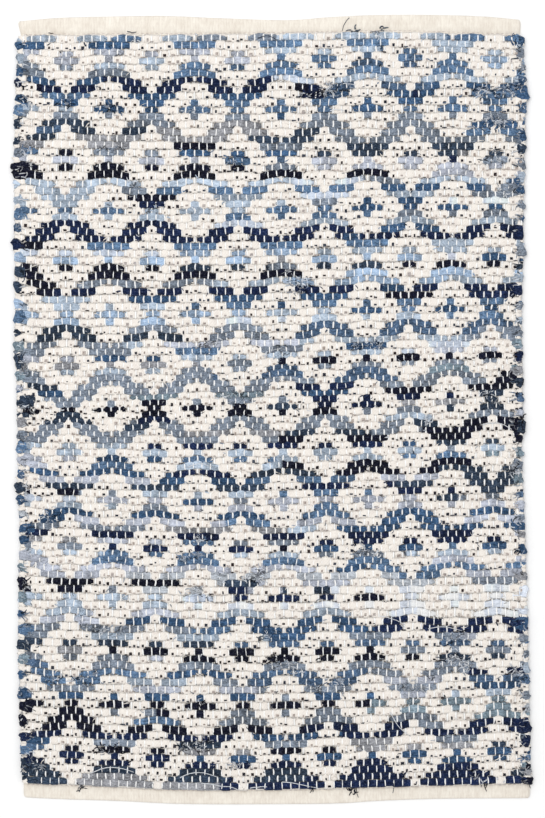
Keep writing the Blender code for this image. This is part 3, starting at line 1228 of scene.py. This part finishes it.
ground = bmesh.new()
bmesh.ops.create_grid(ground, x_segments=12, y_segments=53, size=1)
flat = ground_points(np.array([vertex.co for vertex in ground.verts]))
for vertex, place in zip(ground.verts, flat + CENTRING):
    vertex.co = place
bmesh.ops.solidify(ground, geom=ground.faces[:], thickness=GROUND_THICKNESS * MM)
bmesh.ops.recalc_face_normals(ground, faces=ground.faces[:])
ground_mesh = bpy.data.meshes.new("main_warp")
ground.to_mesh(ground_mesh)
ground.free()
ground_mesh.materials.append(GROUND_COTTON_PAINTED_SHADE)
main_warp = bpy.data.objects.new("main_warp", ground_mesh)
bpy.context.scene.collection.objects.link(main_warp)
print("main_warp:", len(ground_mesh.polygons), "faces")

# %% [markdown]
# ## The headings
# At each end the warp is woven with thin cotton for a few centimetres into a plain canvas, which is turned
# under and sewn down along the first row. The fold is the rug's visible end. Its section is a flat U of one
# cloth, so it is swept across the rug as a tube whose sides are that U, with corners that pull in round the
# fold.

# %% Finish: heading canvas


def canvas_finish():
    cloth = Finish("heading_canvas", Roughness=0.93, Sheen_Weight=0.12, Sheen_Roughness=0.6)
    cloth.shader.inputs["Specular IOR Level"].default_value = 0.2
    warp = cloth.waves(170.0, 1.6, detail=1.0)
    weft = cloth.waves(200.0, 0.9, detail=1.0, bands_direction="Y")
    cloud = cloth.noise(45, detail=4.0)
    slub = cloth.noise(330, stretch=(1.0, 0.3, 1.0), detail=3.0, rough=0.7)
    tone = cloud * 0.5 + slub * 0.75 + warp * 0.14 + weft * 0.12 - 0.22
    ramp = [(0.3, linear((221, 211, 198))), (0.75, linear((246, 240, 229)))]
    cloth.show(Base_Color=cloth.node("ShaderNodeValToRGB", {0: tone}, stops=ramp))
    cloth.show(Roughness=0.88 + slub * 0.1)
    cloth.show(Normal=cloth.bump(warp * 0.5 + weft * 0.4 + slub * 0.5, 0.3 * MM, 0.8))
    return cloth.material


CANVAS = canvas_finish()

# %% Fold the headings
CANVAS_THICKNESS = 1.0
TOP_LEVEL = 2.1
UNDER_LEVEL = 0.55
STITCH_GROOVE = 0.5
STITCH_PLACE = 0.88  # where the groove and its stitches run, as a share of the depth from the fold
HEADING_DEPTH = 21.0  # from the fold to the field
TUCK = 0.12  # how far the canvas runs on under the first row, as a share of its depth
HEADING_RINGS = 150
FOLD_POINTS = (
    # share of the depth from the fold, level of the cloth's middle, how far its corner is drawn in
    (1.0 + TUCK, TOP_LEVEL, 0.0),
    (0.93, TOP_LEVEL, 0.0),
    (STITCH_PLACE, TOP_LEVEL - STITCH_GROOVE, 0.0),
    (0.83, TOP_LEVEL, 0.0),
    (0.6, TOP_LEVEL + 0.1, 0.0),
    (0.35, TOP_LEVEL + 0.1, 0.0),
    (0.15, TOP_LEVEL, 0.4),
    (0.07, TOP_LEVEL - 0.15, 1.2),
    (0.025, (TOP_LEVEL + UNDER_LEVEL) / 2, 2.6),
    (0.07, UNDER_LEVEL + 0.15, 1.2),
    (0.15, UNDER_LEVEL, 0.4),
    (0.5, UNDER_LEVEL, 0.0),
    (1.0, UNDER_LEVEL, 0.0),
)


def folded_section():
    """The U of the folded cloth as one closed outline: along its outer side and back along its inner one."""
    middle = np.array([(share, level) for share, level, _ in FOLD_POINTS])
    ahead = np.gradient(middle * (HEADING_DEPTH, 1.0), axis=0)
    ahead /= np.linalg.norm(ahead, axis=1, keepdims=True)
    normal = np.stack([ahead[:, 1] / HEADING_DEPTH, -ahead[:, 0]], axis=1)
    corners = np.array([corner for _, _, corner in FOLD_POINTS])
    outer = middle + normal * CANVAS_THICKNESS / 2
    inner = middle - normal * CANVAS_THICKNESS / 2
    return np.concatenate([outer, inner[::-1]]), np.concatenate([corners, corners[::-1]])


def fold_heading(name, far, sides):
    """One heading: a tube across the rug whose section is the folded cloth."""
    section, corners = folded_section()
    mesh, ring, side = straight_tube(HEADING_RINGS, section[:, 1])
    if far:
        side = (len(section) - side) % len(section)
    mesh = joined_copies(mesh, 1)
    flare = np.clip(1 - section[side, 0], 0, 1) * (FAR_FLARE_MM if far else 0)
    left = (sides[0] + corners[side] - flare) * MM
    right = (sides[1] - corners[side] + flare * RIGHT_FLARE_SHARE) * MM
    across = left + (right - left) * ring / (HEADING_RINGS - 1)
    fold = fold_line(far, across)
    field = row_line(0.5 if far else ROWS + 0.5, across)
    ripple = wander(1, HEADING_RINGS, 0.12 * MM, 6)[0][ring] * np.sin(section[side, 0] * math.pi)
    along = fold + (field - fold) * section[side, 0]
    points = np.stack([across, along, np.maximum(section[side, 1] * MM + ripple, 0.02 * MM)], axis=1)
    return finished_piece(name, mesh, points + CENTRING, CANVAS)


headings = [
    fold_heading("far_heading", True, FAR_HEADING_SIDES_MM),
    fold_heading("near_heading", False, NEAR_HEADING_SIDES_MM),
]

# %% [markdown]
# ## The seam of each heading
# One row of machine stitches holds the turned canvas, a few millimetres outside the first row of rags. Each
# stitch is a short bent tube that dips into the cloth at both ends, in a thread that has taken a little of
# the denim's colour.

# %% Sew the headings
STITCH_LENGTH = 4.2
STITCH_GAP = 1.6
STITCH_HALF = 0.33
STITCH_SECTION = ((1, 0), (0, 1), (-1, 0), (0, -1))
THREAD = cotton_finish("seam_thread", (214, 202, 198), (186, 174, 174), 600.0, 0.1 * MM)


def stitch_paths(far, sides):
    pitch = (STITCH_LENGTH + STITCH_GAP) * MM
    starts = np.arange(sides[0] * MM + 3 * MM, sides[1] * MM - 6 * MM, pitch)
    steps = np.array([0.0, 0.2, 0.5, 0.8, 1.0]) * STITCH_LENGTH * MM
    levels = np.array([-0.5, 0.15, 0.3, 0.15, -0.5]) + TOP_LEVEL - STITCH_GROOVE + CANVAS_THICKNESS / 2
    across = starts[:, None] + steps
    fold = fold_line(far, across)
    field = row_line(0.5 if far else ROWS + 0.5, across)
    along = fold + (field - fold) * STITCH_PLACE + chance.normal(0, 0.15 * MM, (len(starts), 1))
    return np.stack([across, along, np.broadcast_to(levels * MM, across.shape)], axis=2)


seams = []
for name, far, sides in (
    ("far_seam", True, FAR_HEADING_SIDES_MM),
    ("near_seam", False, NEAR_HEADING_SIDES_MM),
):
    paths = stitch_paths(far, sides)
    size = np.full(paths.shape[:2], STITCH_HALF * MM)
    seams.append(lay_strands(name, paths, size, size, STITCH_SECTION, THREAD))

# %% [markdown]
# ## Frayed threads
# A torn or cut denim strip sheds threads. In some places they stand out of the weave in pale curls, and at
# the selvedges single threads stick out. Hair particles could do it, but a few thousand curled three-sided
# tubes, laid by the weaver's list of frayed places, stay where the photo has them and are plain mesh.

# %% Where the rags are frayed
FRAYED_PLACES = (
    # row, first unit, last unit, threads
    (10, 0, 1.5, 26),
    (11, 4.3, 6.3, 16),
    (11, 9, 12.5, 26),
    (10.5, 19.8, 21.8, 18),
    (8.5, 33.2, 38.6, 70),
    (8.6, 52.8, 59, 90),
    (12.5, 54, 57.5, 34),
    (13, 53, 59, 34),
    (17, 0, 2.2, 22),
    (17.2, 9.6, 13, 26),
    (18.2, 24, 27, 20),
    (17.7, 54, 57.5, 34),
    (22, 56, 59, 30),
    (21.5, 12.8, 14.2, 14),
    (24.3, 14, 17, 18),
    (34.7, 30.8, 34.2, 34),
    (36, 31.6, 34, 16),
    (43.4, 21.8, 25.3, 30),
    (44.5, 29, 31, 16),
    (46.3, 0, 1.5, 18),
    (44.3, 39, 43, 34),
    (51.4, 23, 28.4, 40),
    (51.4, 32, 33.4, 14),
    (52.8, 0, 2.6, 24),
    (52.8, 53.8, 57, 28),
    (55.8, 57.8, 59, 24),
    (55.3, 47.4, 49, 14),
    (63.2, 56, 59, 30),
    (68.1, 27.6, 30, 20),
    (65.7, 0, 3.2, 24),
    (69.6, 2.6, 5, 18),
    (72.2, 19.7, 23, 24),
    (74.3, 38.6, 43.5, 34),
    (75, 18.9, 23.5, 26),
    (77.8, 23.2, 28.8, 60),
    (79.9, 19.3, 22.6, 50),
    (79.5, 0, 2.8, 24),
    (82.5, 7.2, 9.6, 20),
    (85.3, 28.4, 30.5, 18),
    (86.5, 49.7, 53, 28),
    (85, 7.2, 12.5, 40),
    (89.7, 28.5, 33.4, 36),
    (90, 49, 53.5, 40),
    (91.7, 3.2, 9.6, 50),
    (92.5, 32.8, 38.6, 44),
    (91, 56, 59, 26),
    (94, 20.4, 21.6, 12),
    (92.7, 43.3, 49, 40),
    (100.3, 18.9, 23.8, 38),
    (101.3, 9, 13, 28),
    (102.5, 24.8, 27.7, 20),
    (103.5, 0, 3.8, 30),
    (104.8, 52.6, 54.3, 14),
    (106.7, 7.1, 8.2, 3),
    (106.7, 38, 41, 5),
    (106.7, 53.8, 55.2, 4),
    (0.6, 13, 16, 10),
    (0.6, 38, 44, 14),
)
LOWEST_FRAY = 3.3  # threads beyond the first and last row lie down on the heading

# %% Pull out the threads
THREAD_RINGS = 5
FRAY_HALF = (0.4, 1.1)
FRAY_FULLNESS = 1.9  # how many threads are tried for each that the list names
FRAY_REACH = 0.9  # how far a frayed place reaches to each side of its line, in rows
FRAY_LEVELS = (7.0, 7.9)
FRAY_LENGTHS = (2.5, 7)
TUFT_THREADS = 6  # threads that come out together, mostly of one colour
TUFT_SPREAD = (0.15, 0.16, 0.08)  # how far a thread is from its tuft: in rows, in units and in kind
TURN_STREAKS = 6  # threads on each broad fold
WHITE_THREAD = (238, 241, 246)
RAGGED_ENDS = 0.5  # the share of run ends that shed a thread
COTTON_CURLS = 2200
CURL_HALF = (0.5, 1.0)
NEAR_SELVEDGE = 288  # how far from the rug's middle a thread counts as near a selvedge
FRAY_SECTION = ((1, -0.5), (0, 1), (-1, -0.5))
SELVEDGE_HAIRS = 70


def curled_threads(starts, lengths, headings_angle, curls, lift):
    """Paths of loose threads that start at points and wander off at an angle, curling one way."""
    steps = np.linspace(0, 1, THREAD_RINGS)
    angle = headings_angle[:, None] + curls[:, None] * steps
    stride = lengths[:, None] / (THREAD_RINGS - 1)
    paths = np.zeros((len(starts), THREAD_RINGS, 3))
    paths[..., 0] = starts[:, 0:1] + np.cumsum(np.cos(angle) * stride, axis=1)
    paths[..., 1] = starts[:, 1:2] + np.cumsum(np.sin(angle) * stride, axis=1)
    paths[..., 2] = starts[:, 2:3] + lift[:, None] * np.sin(steps * math.pi)
    return paths


def loose_colour(shade, kind):
    """A loose thread is pale if it is the denim's white weft, darkened with painted crease shade, or of its
    rag's shade.
    """
    if kind < 0.5:
        white = 0.75 if kind < 0.2 else 0.3
        return shade * (1 - white) + linear(WHITE_THREAD) * white
    # the darkest threads are their rag times 0.35, painted shade for a thread lying in a crease
    return shade * (0.35 if kind < 0.7 else 1.3)


def shows_denim(row, unit):
    """Whether denim is on the face at a place that may lie between rows."""
    return denim_on_face(int(np.clip(round(row), 1, ROWS)))[int(np.clip(unit, 0, UNITS - 1))] > 0


def fray_starts():
    """A starting point, a colour and a length for every loose thread."""
    starts, colours, lengths = [], [], []

    def pull_out(row, unit, level, length, across=None, kind=None):
        across = across_of(row, unit) if across is None else across
        starts.append((across, along_of(row, unit, across), level * MM))
        shade = rag_colours(int(np.clip(round(row), 1, ROWS)), np.array([unit]))[0]
        colours.append(loose_colour(shade, chance.random() if kind is None else kind))
        lengths.append(length * MM)

    for row, first, last, threads in FRAYED_PLACES:
        total = int(threads * FRAY_FULLNESS)
        bunches = max(1, total // TUFT_THREADS)
        tufts = chance.uniform((row - FRAY_REACH, first, 0), (row + FRAY_REACH, last, 1), (bunches, 3))
        for number in range(total):
            line, place, kind = tufts[number % len(tufts)] + chance.normal(0, TUFT_SPREAD)
            if shows_denim(line, place):
                across = (LIST_START_MM + LIST_STEP_MM * np.clip(place, 0.1, UNITS - 0.1)) * MM
                on_heading = not 0.6 < line < ROWS + 0.4
                level = LOWEST_FRAY if on_heading else chance.uniform(*FRAY_LEVELS)
                length = chance.uniform(*FRAY_LENGTHS)
                pull_out(line, place, level, length, across, 0.6 if on_heading else kind)
    for row in range(1, ROWS + 1):
        for end in np.flatnonzero(np.diff(denim_on_face(row))) + 1:
            if chance.random() < RAGGED_ENDS:
                place = row + chance.uniform(-0.4, 0.4), end + chance.uniform(-0.25, 0.25)
                pull_out(*place, chance.uniform(6.6, 7.2), chance.uniform(2, 6))
    for side, turns in ((0, LEFT_TURNS), (1, RIGHT_TURNS)):
        for top, bottom, reach, name in turns:
            for _ in range(TURN_STREAKS):
                _, along = from_photo(0, chance.uniform(top + 1, bottom - 1))
                row = (ROW_LINES_MM[0][1] * MM - along) / ROW_PITCH + 1
                inwards = chance.uniform(0, reach * MM_PER_PIXEL * 0.7) * MM
                across = edges_at(row)[side] + inwards * (-1 if side else 1)
                starts.append((across, along, chance.uniform(7.3, 7.7) * MM))
                colours.append(loose_colour(linear(RAG_SHADES[name]), chance.random()))
                lengths.append(chance.uniform(3, 9) * MM)
    for _ in range(SELVEDGE_HAIRS):
        side, row = chance.integers(0, 2), chance.uniform(1, ROWS)
        across = edges_at(row)[side] + (1 if side else -1) * chance.uniform(-1, 1) * MM
        pull_out(row, side * UNITS, chance.uniform(1.5, 5.5), chance.uniform(2, 6), across)
    return np.array(starts, float), np.array(colours), np.array(lengths)


def lay_threads(name, starts, lengths, half_widths, spread, curl, material, colours=None):
    """Curled threads that mostly follow the rows; those near a selvedge lie inwards."""
    count = len(starts)
    across = starts[:, 0]
    leftward = np.where(np.abs(across) > NEAR_SELVEDGE * MM, across > 0, chance.random(count) < 0.5)
    angles = leftward * math.pi + chance.normal(0, spread, count)
    curls = chance.normal(0, curl, count)
    lifts = chance.uniform(0.1, 0.8, count) * MM
    paths = curled_threads(starts, lengths, angles, curls, lifts)
    sizes = chance.uniform(*half_widths, (count, 1)) * np.linspace(1.1, 0.6, THREAD_RINGS) * MM
    shades = None if colours is None else np.repeat(colours[:, None], THREAD_RINGS, axis=1)
    field_pieces.append(lay_strands(name, paths, sizes, sizes, FRAY_SECTION, material, shades))


starts, colours, lengths = fray_starts()
lay_threads("frayed_threads", starts, lengths, FRAY_HALF, 0.5, 1.2, DENIM, colours)

# %% [markdown]
# ## Long loose threads
# Some threads are long enough to be seen one by one: white ones drawn out along a denim arch, and dark ones
# that hang over the headings. A random thread would never lie along an arch, so these are listed by their
# ends and their bow.

# %% Lay the long threads
LONG_THREADS = (
    # photo pixels across and down at the start, and at the end; bow in pixels; half width in mm; shade
    (349.5, 16.5, 342.5, 30, 1.5, 0.4, "char"),
    (48, 32, 53, 32, 0.6, 0.45, "ink"),
    (127, 30, 136, 31.5, 1, 0.55, "char"),
    (258, 39, 277, 41, -4, 0.5, "char"),
    (367, 31.5, 386, 31, 1, 0.5, "char"),
    (340, 85, 355, 85, -1.5, 0.55, "white"),
    (330, 111, 345, 111, -1.5, 0.55, "white"),
    (188, 467, 212, 466, -2.5, 0.5, "white"),
    (482, 425, 512, 429, -3.5, 0.55, "white"),
    (380, 616, 405, 625, -2, 0.5, "white"),
    (428, 629, 462, 631, -3, 0.5, "white"),
    (390, 712, 410, 736, 2.5, 0.55, "white"),
    (90, 773, 134, 772, -5, 0.6, "white"),
    (180, 777.5, 218, 777, -5, 0.55, "white"),
    (201.5, 783, 238.5, 789.5, -1, 0.6, "white"),
    (250, 788, 267, 787, -1, 0.6, "white"),
    (282, 782, 318, 788, -1, 0.55, "white"),
    (356.5, 787, 358.5, 798, 0.7, 0.45, "ink"),
    (393.5, 783, 393, 794, -0.7, 0.4, "char"),
    (76, 792, 83, 784, 2, 0.5, "ink"),
    (79, 793, 85, 787, -1.5, 0.45, "char"),
    (77, 783, 87, 789, 1.5, 0.5, "ink"),
    (309, 786, 313, 793, -2, 0.6, "ink"),
    (313, 786, 310, 793, -1, 0.5, "ink"),
    (485, 782, 487, 792, 1, 0.6, "ink"),
    (491, 783, 486, 789, 1, 0.55, "ink"),
    (530, 784, 531, 789, 0.5, 0.45, "ink"),
)
LONG_RINGS = 9
OVER_FIELD = 7.9
OVER_HEADING = 3.2


def long_paths():
    """The paths of the long threads, which drop where they leave the field."""
    steps = np.linspace(0, 1, LONG_RINGS)
    paths = np.zeros((len(LONG_THREADS), LONG_RINGS, 3))
    for path, (left, top, right, bottom, bow, _, _) in zip(paths, LONG_THREADS):
        length = math.hypot(right - left, bottom - top)
        aside = bow * np.sin(steps * math.pi) / length
        pixels_across = left + (right - left) * steps - (bottom - top) * aside
        pixels_down = top + (bottom - top) * steps + (right - left) * aside
        path[:, 0], path[:, 1] = from_photo(pixels_across, pixels_down)
        in_field = (path[:, 1] < row_line(0.5, path[:, 0])) & (path[:, 1] > row_line(ROWS + 0.5, path[:, 0]))
        path[:, 2] = np.where(in_field, OVER_FIELD, OVER_HEADING) * MM
    paths[..., 1] += wander(*paths.shape[:2], 0.7 * MM, 1)
    return paths


sizes = np.array([half for *_, half, _ in LONG_THREADS])[:, None] * np.linspace(1.05, 0.7, LONG_RINGS) * MM
named = {"white": WHITE_THREAD, **RAG_SHADES}
shades = np.array([linear(named[name]) for *_, name in LONG_THREADS])
shades = np.repeat(shades[:, None], LONG_RINGS, axis=1)
field_pieces.append(lay_strands("long_threads", long_paths(), sizes, sizes, FRAY_SECTION, DENIM, shades))

# %% [markdown]
# ## Cotton fluff
# The cotton rope is hardly twisted, so tufts of it slip over the furrow to the next row, and the cream parts
# read as one soft mass. Thicker rows alone would hide the furrows too evenly. Short, thick curls over the
# furrows of the cream parts, drawn at random, break them up.

# %% Lay the cotton curls
starts = []
while len(starts) < COTTON_CURLS:
    row, unit = chance.integers(1, ROWS), chance.uniform(0.5, UNITS - 0.5)
    if not shows_denim(row, unit) and not shows_denim(row + 1, unit):
        line = row + chance.uniform(0.25, 0.75)
        starts.append((across_of(line, unit), along_of(line, unit), chance.uniform(6.1, 6.7) * MM))
starts = np.array(starts, float)
lengths = chance.uniform(4, 10, COTTON_CURLS) * MM
lay_threads("cotton_curls", starts, lengths, CURL_HALF, 0.3, 0.9, CREAM)

# %% [markdown]
# ## The floor, and every piece on one body
# A plain pale floor lies under the rug. Every piece rides on the one body and stands for the imported solid,
# which is hidden.

floor_shape = bmesh.new()
bmesh.ops.create_grid(floor_shape, x_segments=1, y_segments=1, size=4)
floor_mesh = bpy.data.meshes.new("floor")
floor_shape.to_mesh(floor_mesh)
floor_shape.free()
floor = bpy.data.objects.new("floor", floor_mesh)
bpy.context.scene.collection.objects.link(floor)
paper = Finish("pale_floor", Roughness=0.9)
paper.show(Base_Color=solid_colour((250, 250, 250)))
floor_mesh.materials.append(paper.material)

for piece in [main_warp, *field_pieces]:
    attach(piece, "root")
    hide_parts("rug")
for piece in headings + seams:
    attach(piece, "root")
    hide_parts("rug")

# %% [markdown]
# ## Light and camera
# The photo is a catalogue picture: straight down, even white light, and almost no shadow. A bright white
# world gives that, with one large soft lamp above the far left corner so that the rows keep a little shape.

# %% Light
world = bpy.data.worlds.new("studio")
world.use_nodes = True
background = world.node_tree.nodes["Background"]
background.inputs["Color"].default_value = (1, 1, 1, 1)
background.inputs["Strength"].default_value = 0.85
bpy.context.scene.world = world

lamp_data = bpy.data.lights.new("soft_box", "AREA")
lamp_data.shape = "SQUARE"
lamp_data.size = 1.6
lamp_data.energy = 26
lamp = bpy.data.objects.new("soft_box", lamp_data)
lamp.location = (-0.7, 0.9, 2.6)
lamp.rotation_euler = (math.radians(-19), math.radians(-15), 0)
bpy.context.scene.collection.objects.link(lamp)

bpy.context.scene.view_settings.view_transform = "Standard"

# %% Camera, straight above, with the photo's framing
PHOTO_PIXELS = (545, 818)
LENS = 85.0
SENSOR = 36.0
TOP_OF_RUG = 7.0

camera_data = bpy.data.cameras.new("camera")
camera_data.lens = LENS
camera_data.sensor_width = SENSOR
camera_data.clip_end = 20
camera = bpy.data.objects.new("camera", camera_data)
camera_height = PHOTO_PIXELS[1] * MM_PER_PIXEL * LENS / SENSOR + TOP_OF_RUG
picture_centre = from_photo(PHOTO_PIXELS[0] / 2, PHOTO_PIXELS[1] / 2)
camera.location = np.array([*picture_centre, camera_height * MM]) + CENTRING
bpy.context.scene.collection.objects.link(camera)
bpy.context.scene.camera = camera
print(f"camera {camera_height / 1000:.2f} m above the floor")
